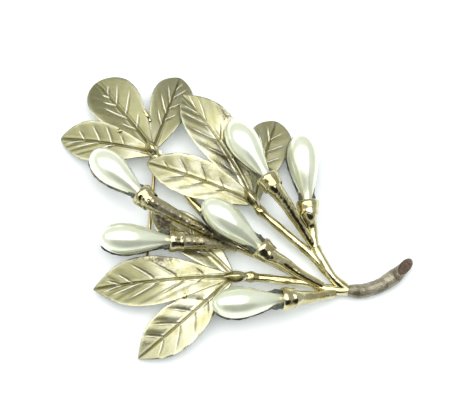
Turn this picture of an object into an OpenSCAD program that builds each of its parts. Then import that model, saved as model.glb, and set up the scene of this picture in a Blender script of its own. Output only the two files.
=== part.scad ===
// Leafy spray brooch with teardrop pearls, lying on its back.
// +Z is up out of the face, the resting plane is Z = 0, and +X runs towards the cut end of the stem.

/* [Spray] */
// Length of the spray, from the furthest leaf tip to the cut end of the stem
spray_length = 82; // [70:1:98]
// Width of the spray, across the highest and the lowest leaf tip
spray_width = 67; // [56:1:80]
// Height of the leaf layer above the resting plane
leaf_level = 4.2; // [4:0.1:5]

/* [Main stem] */
// Thickness of the main stem
stem_d = 3.3; // [2.8:0.1:4]
// Thickness of the main stem at its cut end
stem_end_d = 4.2; // [3.4:0.1:5]
// How far the slanted cut runs along the stem
stem_cut = 2.6; // [1.5:0.1:3.5]

/* [Branches] */
// Thickness of a branch where it leaves the stem
branch_d = 2.4; // [2:0.1:3]
// Thickness of a branch where it reaches its leaves
branch_tip_d = 1.9; // [1.5:0.1:2.4]

/* [Leaves] */
// Thickness of the leaf metal
leaf_wall = 0.6; // [0.5:0.05:0.8]
// Rise of a leaf's edges above its midrib, as a share of the half width
leaf_fold = 0.2; // [0.1:0.02:0.3]
// Width of a leaf where it meets its knot
leaf_neck = 1.6; // [1.2:0.1:2.2]
// Largest width of the smallest leaf
leaf_small_w = 9; // [7.5:0.5:11]
// Largest width of the broad leaves
leaf_broad_w = 10.8; // [9:0.2:13]

/* [Knots and ties] */
// Thickness of the almond knot over each leaf junction
knot_d = 2.3; // [1.8:0.1:2.8]
// Thickness of a tie between two leaves
tie_d = 0.9; // [0.7:0.1:1.2]

/* [Pearls] */
// Largest diameter of a pearl
pearl_d = 7.2; // [6:0.1:8.7]
// Length of a pearl outside its cup
pearl_length = 16.2; // [13.5:0.1:19.5]
// Distance from the cup to the widest part of a pearl
pearl_shoulder = 10.4; // [9:0.1:12]
// Diameter of a pearl's narrow neck at the mouth of its cup
pearl_neck_d = 2.6; // [2.2:0.1:3]
// Length of the peg that a pearl has inside its cup
pearl_peg = 1.7; // [1.2:0.1:2.2]

/* [Cups and trays] */
// Diameter of a cup at its fullest
cup_d = 5.5; // [5:0.1:6.4]
// Length of a cup along its pearl
cup_length = 3.5; // [3:0.1:4.5]
// Thickness of a bud stalk behind its cup
stalk_d = 3.4; // [2.8:0.1:4]
// Thickness of a bud stalk where it joins its branch
stalk_end_d = 1.9; // [1.6:0.1:2.2]
// Thickness of the tray metal under a pearl
tray_wall = 0.5; // [0.4:0.05:0.7]
// Part of a turn that a tray wraps around its pearl
tray_arc = 130; // [100:5:150]
// Glue line between a pearl and the metal around it
glue_gap = 0.04; // [0.03:0.01:0.08]
// Length of the cement fillet along a pearl's neck
cement_length = 2.4; // [1.8:0.1:3]

/* [Pin hinge] */
// Diameter of the pin wire
pin_d = 0.8; // [0.7:0.05:0.9]
// Reach of the pin's point beyond the catch
pin_past_catch = 0.6; // [0.4:0.1:1]
// Length of the thicker root of the pin, from the middle of its eye
pin_root = 2.4; // [2:0.1:3]
// Diameter of the pin's eye
eye_d = 2; // [1.8:0.1:2.4]
// Width of the pin's eye along the rivet
eye_w = 1; // [0.9:0.1:1.2]
// Diameter of the hinge rivet
rivet_d = 0.9; // [0.7:0.05:1]
// Running clearance of the eye around the rivet
rivet_clearance = 0.05; // [0.03:0.01:0.08]
// Thickness of a hinge ear
ear_t = 0.5; // [0.4:0.05:0.7]
// Gap between the eye and each ear
ear_gap = 0.1; // [0.08:0.01:0.2]
// Radius of the hinge ears and of the catch housing, which the back rests on
foot_r = 1.6; // [1.5:0.05:1.8]

/* [Catch] */
// Length of the catch housing along the pin
housing_length = 3; // [2.6:0.1:3.4]
// Wall of the catch housing
housing_wall = 0.5; // [0.4:0.05:0.6]
// Running clearance of the rotor in its housing
rotor_clearance = 0.05; // [0.03:0.01:0.08]
// Radial clearance of the pin inside the rotor
pin_clearance = 0.12; // [0.08:0.01:0.15]
// Width of the catch mouth, beyond the pin's diameter
mouth_spare = 0.25; // [0.2:0.05:0.3]
// Thickness of the rotor's lever along the pin
lever_t = 0.8; // [0.6:0.05:1]
// Reach of the lever from the rotor's axis
lever_reach = 2.7; // [2.3:0.1:3.2]
// Turn of the rotor from open to locked, in degrees
lever_turn = 130; // [100:5:135]

/* [Hidden] */
$fn = 40;

// The lay-out points below are written for a spray of this length and width, around this centre.
NOMINAL_LENGTH = 82;
NOMINAL_WIDTH = 67;
SX = spray_length / NOMINAL_LENGTH;
SY = spray_width / NOMINAL_WIDTH;
CENTRE = [0.01, -1.15];
function place(p) = [(p.x - CENTRE.x) * SX, (p.y - CENTRE.y) * SY, p.z];
function raised(x, y, dz) = place([x, y, leaf_level + dz]);
function unit(v) = v / norm(v);
function mix(a, b, f) = a * (1 - f) + b * f;

// ---- swept and lofted skins ----

// Triangles that close one ring: point j faces point n - 1 - j across it.
function ladder(first, n, turned) = [
    for (j = [0 : n / 2 - 2])
    for (half = [0, 1])
    let (a = first + j, b = first + j + 1, c = first + n - 1 - j, d = c - 1)
    let (tri = half == 0 ? [a, c, b] : [b, c, d])
    turned ? [tri[2], tri[1], tri[0]] : tri
];

// Closed skin through equal rings of points.
module skin(rings) {
    n = len(rings[0]);
    count = len(rings);
    sides = [
        for (i = [0 : count - 2])
        for (j = [0 : n - 1])
        for (half = [0, 1])
        let (a = i * n + j, b = i * n + (j + 1) % n)
        half == 0 ? [a, b, b + n] : [a, b + n, a + n]
    ];
    polyhedron(
        points = [for (ring = rings) each ring],
        faces = concat(sides, ladder(0, n, false), ladder((count - 1) * n, n, true))
    );
}

// Catmull-Rom curve through points of [x, y, z, radius].
function curve_point(p, i, f) =
    let (last = len(p) - 1)
    let (a = p[max(i - 1, 0)], b = p[i], c = p[min(i + 1, last)], d = p[min(i + 2, last)])
    0.5 * (2 * b + (c - a) * f + (2 * a - 5 * b + 4 * c - d) * pow(f, 2)
        + (3 * b - a - 3 * c + d) * pow(f, 3));
function curve(p, steps) = concat(
    [for (i = [0 : len(p) - 2]) for (k = [0 : steps - 1]) curve_point(p, i, k / steps)],
    [p[len(p) - 1]]
);

TUBE_SIDES = 12;
TUBE_STEPS = 4;

// Round bar that follows a curve; cut slants its far end along the run.
module bar(points, cut = 0) {
    p = curve(points, TUBE_STEPS);
    last = len(p) - 1;
    skin([
        for (i = [0 : last])
        let (before = p[max(i - 1, 0)], after = p[min(i + 1, last)])
        let (run = unit([after.x - before.x, after.y - before.y, after.z - before.z]))
        let (side = unit(cross(run, [0, 0, 1])))
        let (up = cross(side, run))
        let (slant = i == last ? cut : 0)
        [
            for (j = [0 : TUBE_SIDES - 1])
            let (angle = 360 * j / TUBE_SIDES)
            [p[i].x, p[i].y, p[i].z]
                + p[i][3] * (side * cos(angle) + up * sin(angle))
                + run * slant * (cos(angle) + sin(angle)) / -2
        ]
    ]);
}

function with_radius(p, r) = [p.x, p.y, p.z, r];

// ---- stem and branches ----

STEM_R = stem_d / 2;
STEM_END_R = stem_end_d / 2;
BRANCH_R = branch_d / 2;
BRANCH_TIP_R = branch_tip_d / 2;

FORK = place([25.5, -17, STEM_R + 0.1]);
RIGHT_FORK = place([17.8, -7.6, 3.5]);
MIDDLE_FORK = place([20.8, -13, 2.5]);
LOWER_FORK = place([20.5, -17, 2.2]);
UNDER_FORK = place([17.4, -15.6, 1.9]);
BUD_FORK = place([0.3, -7.8, 2.4]);
KNOT_A_FOOT = raised(-18.7, 11.8, 0.1);
KNOT_B_FOOT = raised(4.9, 0.6, -0.4);
KNOT_C_FOOT = raised(2.6, -15.1, 0);

module main_stem() {
    color("#6e5a42") bar([
        with_radius(FORK, STEM_R),
        with_radius(place([29, -17, STEM_R]), STEM_R),
        with_radius(place([33, -15.7, STEM_R]), STEM_R),
        with_radius(place([36.6, -13.4, STEM_R + 0.3]), mix(STEM_R, STEM_END_R, 0.5)),
        with_radius(place([39.4, -10.8, STEM_END_R + 0.3]), STEM_END_R)
    ], stem_cut);
}

module right_branch() {
    color("#c2ab66") bar([
        with_radius(FORK, BRANCH_R),
        with_radius(place([21.8, -14.1, 2.6]), BRANCH_R),
        with_radius(place([19.3, -10.4, 3.1]), BRANCH_R),
        with_radius(RIGHT_FORK, BRANCH_R)
    ]);
}

module middle_branch() {
    color("#c2ab66") bar([
        with_radius(MIDDLE_FORK, BRANCH_R),
        with_radius(place([16.7, -9, 2.9]), mix(BRANCH_R, BRANCH_TIP_R, 0.5)),
        with_radius(place([11, -4.4, 3.4]), BRANCH_TIP_R),
        with_radius(KNOT_B_FOOT, BRANCH_TIP_R)
    ]);
}

module lower_branch() {
    color("#c2ab66") bar([
        with_radius(FORK, BRANCH_R),
        with_radius(LOWER_FORK, BRANCH_R),
        with_radius(place([16.5, -16, 2.8]), BRANCH_TIP_R),
        with_radius(place([11.2, -15.6, 3.4]), BRANCH_TIP_R),
        with_radius(KNOT_C_FOOT, BRANCH_TIP_R)
    ]);
}

module upper_branch() {
    color("#c2ab66") bar([
        with_radius(UNDER_FORK, BRANCH_TIP_R),
        with_radius(place([14, -13.8, 1.6]), BRANCH_TIP_R),
        with_radius(place([6.2, -10.2, 1.9]), BRANCH_TIP_R),
        with_radius(BUD_FORK, BRANCH_TIP_R),
        with_radius(place([-4.1, -3.8, 2.2]), BRANCH_TIP_R),
        with_radius(place([-8.6, 0.6, 2]), BRANCH_TIP_R),
        with_radius(place([-14.4, 7.2, 2.4]), BRANCH_TIP_R),
        with_radius(KNOT_A_FOOT, BRANCH_TIP_R)
    ]);
}

// ---- leaves ----

LEAF_RINGS = 12;
LEAF_ACROSS = [-1, -0.5, 0, 0.5, 1];
LEAF_TIP_HALF = 0.1;

// base, tip, width, place of the largest width, fullness, sideways bow, arch, roll
LEAF_A1 = [raised(-20, 13.2, 0.2), raised(-40.6, 16.5, -3), leaf_small_w, 0.64, 0.62, -0.4, 1, -6];
LEAF_A2 = [raised(-20.6, 14.8, 0.3), raised(-32.6, 30.2, -3), leaf_broad_w + 0.6, 0.68, 0.5, 0, 0.9, 0];
LEAF_A3 = [raised(-19.6, 14.6, 0.2), raised(-13.2, 32.2, -3.3), leaf_small_w, 0.66, 0.52, 0, 0.6, 0];
LEAF_B1 = [raised(3, 2.6, -0.2), raised(-21.2, 10.5, 0.9), leaf_small_w, 0.6, 0.6, -0.5, 0.6, -6];
LEAF_B2 = [raised(2.8, 3.6, -0.2), raised(-13, 27, 0.4), leaf_broad_w, 0.64, 0.6, -1, 0.8, 6];
LEAF_B3 = [raised(3.8, 2.6, -0.6), raised(9.4, 22.6, -3.2), leaf_small_w + 0.6, 0.72, 0.54, 0.5, 0.5, 4];
LEAF_C1 = [raised(-2.6, -15.2, 0.1), raised(-32.8, -18.7, -1.6), leaf_broad_w + 0.2, 0.62, 0.68, -0.4, 1, 0];
LEAF_C2 = [raised(-2, -15.7, 0), raised(-22.4, -34.2, -2.4), leaf_small_w + 0.7, 0.62, 0.66, 0.2, 0.4, -2];
LEAF_C3 = [raised(-1.8, -14.6, -0.5), raised(-19.8, -0.7, -0.9), leaf_small_w, 0.62, 0.6, -0.9, 0.1, 9];

function leaf_run(leaf) = unit(leaf[1] - leaf[0]);
function leaf_side(leaf) =
    let (level = unit(cross([0, 0, 1], leaf_run(leaf))))
    level * cos(leaf[7]) + cross(leaf_run(leaf), level) * sin(leaf[7]);
function leaf_half(leaf, s) =
    leaf[2] / 2 * pow(sin(180 * pow(s, ln(0.5) / ln(leaf[3]))), leaf[4])
        + leaf_neck / 2 * pow(1 - s, 3) + LEAF_TIP_HALF;

// Point of a leaf: s runs from base to tip, t across it from -1 to 1, d is the depth below the face.
function leaf_point(leaf, s, t, d = 0) =
    let (run = leaf_run(leaf), side = leaf_side(leaf), half = leaf_half(leaf, s), hump = 4 * s * (1 - s))
    leaf[0] + (leaf[1] - leaf[0]) * s
        + side * (leaf[5] * hump + t * half)
        + cross(run, side) * (leaf[6] * hump + leaf_fold * abs(t) * half - d);

module leaf(shape) {
    color("#a89c72") skin([
        for (i = [0 : LEAF_RINGS])
        let (s = sin(90 * i / LEAF_RINGS))
        concat(
            [for (t = LEAF_ACROSS) leaf_point(shape, s, t)],
            [for (t = LEAF_ACROSS) leaf_point(shape, s, -t, leaf_wall)]
        )
    ]);
}

module leaf_a1() { leaf(LEAF_A1); }
module leaf_a2() { leaf(LEAF_A2); }
module leaf_a3() { leaf(LEAF_A3); }
module leaf_b1() { leaf(LEAF_B1); }
module leaf_b2() { leaf(LEAF_B2); }
module leaf_b3() { leaf(LEAF_B3); }
module leaf_c1() { leaf(LEAF_C1); }
module leaf_c2() { leaf(LEAF_C2); }
module leaf_c3() { leaf(LEAF_C3); }

// Turns +Z to run from one point to another, and moves to the first.
module along(from, to) {
    run = unit(to - from);
    translate(from) rotate([0, acos(run.z), atan2(run.y, run.x)]) children();
}

KNOT_STEPS = 10;
// Height of a knot's lower tip above the axis of its branch.
KNOT_LIFT = [0, 0, 0.3];

module knot(tip, foot) {
    length = norm(foot - tip);
    color("#d6c27c") along(tip, foot) rotate_extrude() polygon([
        for (i = [0 : KNOT_STEPS])
        [i == KNOT_STEPS ? 0 : knot_d / 2 * sin(180 * i / KNOT_STEPS), length * i / KNOT_STEPS]
    ]);
}

module knot_a() { knot(raised(-21.4, 16, 0.7), KNOT_A_FOOT + KNOT_LIFT); }
module knot_b() { knot(raised(1.2, 5.6, 0.4), KNOT_B_FOOT + KNOT_LIFT); }
module knot_c() { knot(raised(-4, -15.5, 0.6), KNOT_C_FOOT + KNOT_LIFT); }

// Bar between the edges of two leaves, sunk into both.
module leaf_tie(from, to) {
    color("#d6c27c") along(from, to) cylinder(d = tie_d, h = norm(to - from));
}

TIE_EDGE = 0.94;
TIE_DEPTH = leaf_wall / 2;

module leaf_tie_a12() {
    leaf_tie(leaf_point(LEAF_A1, 0.36, -TIE_EDGE, TIE_DEPTH), leaf_point(LEAF_A2, 0.34, TIE_EDGE, TIE_DEPTH));
}
module leaf_tie_a23() {
    leaf_tie(leaf_point(LEAF_A2, 0.36, -TIE_EDGE, TIE_DEPTH), leaf_point(LEAF_A3, 0.28, TIE_EDGE, TIE_DEPTH));
}
module leaf_tie_c12() {
    leaf_tie(leaf_point(LEAF_C1, 0.34, TIE_EDGE, TIE_DEPTH), leaf_point(LEAF_C2, 0.38, -TIE_EDGE, TIE_DEPTH));
}

// ---- buds: cup, tray, cement and pearl ----

PEARL_R = pearl_d / 2;
NECK_R = pearl_neck_d / 2;
TRAY_DEPTH = PEARL_R + glue_gap + tray_wall;
CUP_R = cup_d / 2;

// Lowest height at which a pearl's axis clears the leaf layer.
BUD_LEVEL = leaf_level + TRAY_DEPTH - 1;

// Centre of the cup's mouth, heading and pitch of the pearl in degrees, length of this pearl as a
// share of a full one, and the points that the stalk passes on its way to its branch.
BUD = [
    [place([-23.3, 2.2, BUD_LEVEL + 2.6]), 138, -8, 0.9, [
        place([-16, -1.8, leaf_level + 4.3]),
        place([-11.2, -3.8, leaf_level + 2.6]),
        place([-6.1, -5.6, leaf_level + 0.8]),
        place([-0.8, -7.2, 3])
    ]],
    [place([-16.4, -8, BUD_LEVEL + 0.2]), 180, 3, 0.99, [
        place([-7.9, -8, leaf_level + 2.2]),
        place([-4.2, -8, leaf_level + 0.6]),
        place([-0.6, -8.4, 2.9])
    ]],
    [place([5.4, 7, BUD_LEVEL + 3.3]), 122, -6, 0.95, [
        place([10.6, 1, leaf_level + 3.8]),
        place([14, -2.9, leaf_level + 1]),
        place([17.4, -7.2, 3.5])
    ]],
    [place([4.1, -8.8, BUD_LEVEL + 0.6]), 143, 6, 1, [
        place([10.2, -11.9, leaf_level + 1.2]),
        place([14.3, -14.2, leaf_level]),
        place([19.4, -16.4, 2.8])
    ]],
    [place([15.7, 2.8, BUD_LEVEL - 1.8]), 96, 2, 0.98, [
        place([16.9, -2.8, 4]),
        RIGHT_FORK
    ]],
    [place([9.4, -20.6, BUD_LEVEL - 0.5]), 187, 5, 1, [
        place([17.2, -19.3, 4.2]),
        place([22.4, -18, 2.5])
    ]]
];

function bud_run(bud) = [cos(bud[1]) * cos(bud[2]), sin(bud[1]) * cos(bud[2]), sin(bud[2])];

// Frame of a bud: +Z runs out along its pearl from the cup's mouth, +X points down.
module at_mouth(bud) {
    translate(bud[0]) rotate([0, 90 - bud[2], bud[1]]) children();
}

// Radius of a pearl at a distance from the cup's mouth: a waisted flank, then a half ellipse.
FLANK_EASE = 1.5;
function pearl_r(u, share) =
    let (shoulder = pearl_shoulder * share, length = pearl_length * share)
    u < shoulder
        ? NECK_R + (PEARL_R - NECK_R) * pow(sin(90 * u / shoulder), FLANK_EASE)
        : PEARL_R * sqrt(max(0, 1 - pow((u - shoulder) / (length - shoulder), 2)));

FLANK_STEPS = 9;
CAP_STEPS = 8;
// Distances from the mouth at which a pearl's profile has a point, as shares of the full pearl.
PEARL_STATIONS = concat(
    [for (i = [0 : FLANK_STEPS - 1]) pearl_shoulder * i / FLANK_STEPS],
    [for (i = [0 : CAP_STEPS]) pearl_shoulder + (pearl_length - pearl_shoulder) * sin(90 * i / CAP_STEPS)]
);
PEG_TAPER = 0.85;

module pearl(bud) {
    share = bud[3];
    color("#e9e9d2") at_mouth(bud) rotate_extrude() polygon(concat(
        [[0, -pearl_peg], [NECK_R * PEG_TAPER, -pearl_peg]],
        [for (u = PEARL_STATIONS) [u == pearl_length ? 0 : pearl_r(u * share, share), u * share]]
    ));
}

// Share of the pearl's length that its tray reaches.
TRAY_REACH = 0.95;

// Spoon of metal under a pearl, a glue line away from it.
module pearl_tray(bud) {
    share = bud[3];
    inner = [
        for (u = PEARL_STATIONS) if (u < TRAY_REACH * pearl_length)
        [pearl_r(u * share, share) + glue_gap, u * share]
    ];
    last = len(inner) - 1;
    color("#5d5c48") at_mouth(bud) rotate([0, 0, -tray_arc / 2]) rotate_extrude(angle = tray_arc)
        polygon(concat(inner, [for (i = [0 : last]) inner[last - i] + [tray_wall, 0]]));
}

CEMENT_ARC = 55;
CEMENT_RIM = 0.35;

// Fillet of grey cement on each side of the neck, above the tray's edges.
module cement(bud) {
    outer = pearl_r(cement_length, bud[3]) + glue_gap;
    color("#4b4d45") at_mouth(bud) for (way = [-1, 1])
        rotate([0, 0, way * (tray_arc + CEMENT_ARC) / 2 - CEMENT_ARC / 2])
        rotate_extrude(angle = CEMENT_ARC) polygon([
            [NECK_R + glue_gap, 0],
            [CUP_R - CEMENT_RIM, 0],
            [outer + CEMENT_RIM, cement_length],
            [outer, cement_length]
        ]);
}

CUP_FLOOR = 0.4;
CUP_LIP = 0.25;
STALK_R = stalk_d / 2;
STALK_END_R = stalk_end_d / 2;

// Cup with a socket for the pearl's peg, on a tapered stalk.
module bud_cup(bud) {
    back = bud[0] - bud_run(bud) * (cup_length - CUP_FLOOR);
    behind = bud[0] - bud_run(bud) * (cup_length + 1.6);
    way = bud[4];
    last = len(way) - 1;
    color("#b9a566") at_mouth(bud) rotate_extrude() polygon([
        [0, -cup_length],
        [STALK_R + 0.3, -cup_length],
        [CUP_R - 0.35, -cup_length + 0.5],
        [CUP_R, -cup_length * 0.6],
        [CUP_R - 0.1, -cup_length * 0.3],
        [CUP_R - CUP_LIP, 0],
        [NECK_R + glue_gap, 0],
        [NECK_R * PEG_TAPER + glue_gap, -pearl_peg - glue_gap],
        [0, -pearl_peg - glue_gap]
    ]);
    color("#b9a566") bar(concat(
        [with_radius(back, STALK_R), with_radius(behind, STALK_R * 0.94)],
        [for (i = [0 : last]) with_radius(way[i], mix(STALK_R, STALK_END_R, (i + 1) / (last + 1)))]
    ));
}

// ---- pin, hinge and catch on the back ----

PIN_R = pin_d / 2;
RIVET_R = rivet_d / 2;
PIN_Z = foot_r;
// The hinge is soldered under the upper branch's end, and the catch under the face of leaf c1.
HINGE_AT = [KNOT_A_FOOT.x - 0.2, KNOT_A_FOOT.y + 0.4, PIN_Z];
CATCH_S = 0.6;
CATCH_T = -0.28;
CATCH_ON_LEAF = leaf_point(LEAF_C1, CATCH_S, CATCH_T, leaf_wall);
CATCH_AT = [CATCH_ON_LEAF.x, CATCH_ON_LEAF.y, PIN_Z];
PIN_SPAN = norm(CATCH_AT - HINGE_AT);
PIN_HEADING = atan2(CATCH_AT.y - HINGE_AT.y, CATCH_AT.x - HINGE_AT.x);
SOLDER_BITE = 0.15;

// Frame of the findings: origin on the hinge's axis, +X along the pin.
module on_pin() {
    translate(HINGE_AT) rotate([0, 0, PIN_HEADING]) children();
}

// Cylinder across the pin, centred on it.
module cross_bar(r, w) {
    rotate([90, 0, 0]) cylinder(r = r, h = w, center = true);
}

EAR_INNER = eye_w / 2 + ear_gap;
PLATE_LENGTH = 3.6;
PLATE_T = 0.5;
HINGE_TOP = KNOT_A_FOOT.z - BRANCH_TIP_R + SOLDER_BITE - PIN_Z;

module hinge_bracket() {
    color("#b9a566") on_pin() difference() {
        union() {
            translate([-PLATE_LENGTH / 2, -EAR_INNER - ear_t, HINGE_TOP - PLATE_T])
                cube([PLATE_LENGTH, 2 * (EAR_INNER + ear_t), PLATE_T]);
            for (side = [-1, 1]) translate([0, side * (EAR_INNER + ear_t / 2), 0]) {
                cross_bar(foot_r, ear_t);
                translate([-foot_r, -ear_t / 2, 0]) cube([2 * foot_r, ear_t, HINGE_TOP - PLATE_T / 2]);
            }
        }
        cross_bar(RIVET_R, 4 * EAR_INNER + 4 * ear_t);
    }
}

RIVET_HEAD_R = RIVET_R + 0.3;
RIVET_HEAD_T = 0.25;

module hinge_rivet() {
    color("#cfc08a") on_pin() {
        cross_bar(RIVET_R, 2 * (EAR_INNER + ear_t));
        for (side = [-1, 1])
            translate([0, side * (EAR_INNER + ear_t + RIVET_HEAD_T / 2), 0]) cross_bar(RIVET_HEAD_R, RIVET_HEAD_T);
    }
}

ROOT_R = PIN_R + 0.08;
ROOT_START = eye_d / 2 - 0.2;
WIRE_END = PIN_SPAN - housing_length / 2 - 0.2;
POINT_END = PIN_SPAN + housing_length / 2 + pin_past_catch;
POINT_R = 0.06;

// Round or tapered length of the pin between two distances from its eye.
module pin_length(from, to, r1, r2) {
    translate([from, 0, 0]) rotate([0, 90, 0]) cylinder(r1 = r1, r2 = r2, h = to - from);
}

module pin_stem() {
    color("#cfc08a") on_pin() {
        difference() {
            cross_bar(eye_d / 2, eye_w);
            cross_bar(RIVET_R + rivet_clearance, 2 * eye_w);
        }
        pin_length(ROOT_START, pin_root, ROOT_R, PIN_R);
        pin_length(pin_root, WIRE_END, PIN_R, PIN_R);
        pin_length(WIRE_END, POINT_END, PIN_R, POINT_R);
    }
}

HOUSING_IN_R = foot_r - housing_wall;
ROTOR_R = HOUSING_IN_R - rotor_clearance;
ROTOR_IN_R = PIN_R + pin_clearance;
MOUTH_W = pin_d + mouth_spare;
CATCH_TOP = CATCH_ON_LEAF.z + SOLDER_BITE - PIN_Z;
WINDOW_W = lever_t + 0.2;
// Side of the square pad that is soldered to the leaf.
PAD_LENGTH = 2.4;
// Direction of the lever when open, measured around the pin from straight across it.
LEVER_START = -165;
LEVER_SLACK = 20;

// Wedge around the pin's line from one angle to another, w long.
module wedge(r, w, from, to) {
    rotate([0, 90, 0]) rotate([0, 0, 90]) translate([0, 0, -w / 2])
        rotate([0, 0, from]) rotate_extrude(angle = to - from) square([r, w]);
}

module catch_housing() {
    color("#b9a566") on_pin() translate([PIN_SPAN, 0, 0]) difference() {
        union() {
            rotate([0, 90, 0]) cylinder(r = foot_r, h = housing_length, center = true);
            translate([-PAD_LENGTH / 2, -PAD_LENGTH / 2, HOUSING_IN_R + housing_wall / 2])
                cube([PAD_LENGTH, PAD_LENGTH, CATCH_TOP - HOUSING_IN_R - housing_wall / 2]);
        }
        rotate([0, 90, 0]) cylinder(r = HOUSING_IN_R, h = 2 * housing_length, center = true);
        translate([-housing_length, -MOUTH_W / 2, -2 * foot_r]) cube([2 * housing_length, MOUTH_W, 2 * foot_r]);
        wedge(2 * foot_r, WINDOW_W, LEVER_START - LEVER_SLACK, LEVER_START + lever_turn + LEVER_SLACK);
    }
}

ROTOR_LENGTH = housing_length - 0.2;
TAB_R = 0.6;

module catch_rotor() {
    color("#cfc08a") on_pin() translate([PIN_SPAN, 0, 0]) difference() {
        union() {
            rotate([0, 90, 0]) cylinder(r = ROTOR_R, h = ROTOR_LENGTH, center = true);
            rotate([LEVER_START, 0, 0]) {
                translate([-lever_t / 2, 0, -TAB_R / 2]) cube([lever_t, lever_reach, TAB_R]);
                translate([0, lever_reach, 0]) rotate([0, 90, 0])
                    cylinder(r = TAB_R, h = lever_t, center = true);
            }
        }
        rotate([0, 90, 0]) cylinder(r = ROTOR_IN_R, h = 2 * housing_length, center = true);
        translate([-housing_length, -MOUTH_W / 2, -2 * foot_r]) cube([2 * housing_length, MOUTH_W, 2 * foot_r]);
    }
}

main_stem();
right_branch();
middle_branch();
lower_branch();
upper_branch();
bud_cup(BUD[0]);  // bud_cup_1
bud_cup(BUD[1]);  // bud_cup_2
bud_cup(BUD[2]);  // bud_cup_3
bud_cup(BUD[3]);  // bud_cup_4
bud_cup(BUD[4]);  // bud_cup_5
bud_cup(BUD[5]);  // bud_cup_6
pearl_tray(BUD[0]);  // pearl_tray_1
pearl_tray(BUD[1]);  // pearl_tray_2
pearl_tray(BUD[2]);  // pearl_tray_3
pearl_tray(BUD[3]);  // pearl_tray_4
pearl_tray(BUD[4]);  // pearl_tray_5
pearl_tray(BUD[5]);  // pearl_tray_6
cement(BUD[0]);  // cement_1
cement(BUD[1]);  // cement_2
cement(BUD[2]);  // cement_3
cement(BUD[3]);  // cement_4
cement(BUD[4]);  // cement_5
cement(BUD[5]);  // cement_6
pearl(BUD[0]);  // pearl_1
pearl(BUD[1]);  // pearl_2
pearl(BUD[2]);  // pearl_3
pearl(BUD[3]);  // pearl_4
pearl(BUD[4]);  // pearl_5
pearl(BUD[5]);  // pearl_6
leaf_a1();
leaf_a2();
leaf_a3();
leaf_b1();
leaf_b2();
leaf_b3();
leaf_c1();
leaf_c2();
leaf_c3();
knot_a();
knot_b();
knot_c();
leaf_tie_a12();
leaf_tie_a23();
leaf_tie_c12();
hinge_bracket();
hinge_rivet();
pin_stem();
catch_housing();
catch_rotor();
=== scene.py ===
"""Looks of a leafy spray brooch.

Engraved satin leaves, cupped teardrop pearls, a bronze stem, and a pin with its catch.
"""

import itertools
import logging
import math
from dataclasses import dataclass, field
from enum import Enum
from typing import Any, Callable, Mapping, Sequence

import bpy
import numpy as np
from mathutils import Matrix, Vector


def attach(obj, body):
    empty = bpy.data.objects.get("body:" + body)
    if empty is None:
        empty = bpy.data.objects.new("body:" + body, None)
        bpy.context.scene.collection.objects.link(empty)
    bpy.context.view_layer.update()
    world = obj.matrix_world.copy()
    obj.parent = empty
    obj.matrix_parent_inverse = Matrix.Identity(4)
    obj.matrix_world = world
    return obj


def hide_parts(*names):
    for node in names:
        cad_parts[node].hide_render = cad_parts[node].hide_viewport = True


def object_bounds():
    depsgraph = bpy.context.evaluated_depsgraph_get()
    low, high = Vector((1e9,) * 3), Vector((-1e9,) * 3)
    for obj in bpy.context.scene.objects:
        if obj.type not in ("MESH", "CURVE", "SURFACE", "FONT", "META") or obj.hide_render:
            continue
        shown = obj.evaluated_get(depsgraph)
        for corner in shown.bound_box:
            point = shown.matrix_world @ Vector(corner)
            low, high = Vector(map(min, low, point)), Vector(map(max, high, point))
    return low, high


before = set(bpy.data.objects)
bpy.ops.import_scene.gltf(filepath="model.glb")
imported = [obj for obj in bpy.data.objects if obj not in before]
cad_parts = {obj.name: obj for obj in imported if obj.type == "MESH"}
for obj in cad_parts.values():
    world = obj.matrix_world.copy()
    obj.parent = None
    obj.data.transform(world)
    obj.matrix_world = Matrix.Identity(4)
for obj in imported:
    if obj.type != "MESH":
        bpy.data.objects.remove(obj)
CAD_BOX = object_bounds()

LOG = logging.getLogger("brooch")
MM = 0.001
BAR_SIDES = 40
Array = np.ndarray
Point = tuple[float, float, float]
Station = tuple[float, float, float, float]

# ---- lay-out, in millimetres, as the frame has it ----

CENTRE = (0.01, -1.15)
LEAF_LEVEL = 4.2
PEARL_R = 3.6
TRAY_DEPTH = 4.14
BUD_LEVEL = LEAF_LEVEL + TRAY_DEPTH - 1


def place(x: float, y: float, z: float) -> Point:
    """A lay-out point in the frame."""
    return (x - CENTRE[0], y - CENTRE[1], z)


def raised(x: float, y: float, lift: float) -> Point:
    """A lay-out point at a height above the leaves' level."""
    return place(x, y, LEAF_LEVEL + lift)


def station(point: Point, radius: float) -> Station:
    """A point of a bar's course with the bar's radius there."""
    return (*point, radius)


FORK = station(place(25.5, -17, 1.75), 1.65)
KNOT_A_FOOT = raised(-18.7, 11.8, 0.1)
KNOT_B_FOOT = raised(4.9, 0.6, -0.4)
KNOT_C_FOOT = raised(2.6, -15.1, 0)

# ---- shapes worked out as whole arrays ----


def unit(v: Array) -> Array:
    """Each vector divided by its own length."""
    return v / np.maximum(np.linalg.norm(v, axis=-1, keepdims=True), 1e-12)


def ease(low: float, high: float, x: Array) -> Array:
    """Smooth step: 0 below low, 1 above high, and 3 t^2 - 2 t^3 between them."""
    t = np.clip((x - low) / (high - low), 0, 1)
    return t * t * (3 - 2 * t)


def hill(x: Array, middle: float | Array, width: float | Array) -> Array:
    """Bell of height 1: e to the power of minus the square of the distance in widths."""
    return np.exp(-(((x - middle) / width) ** 2))


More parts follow.
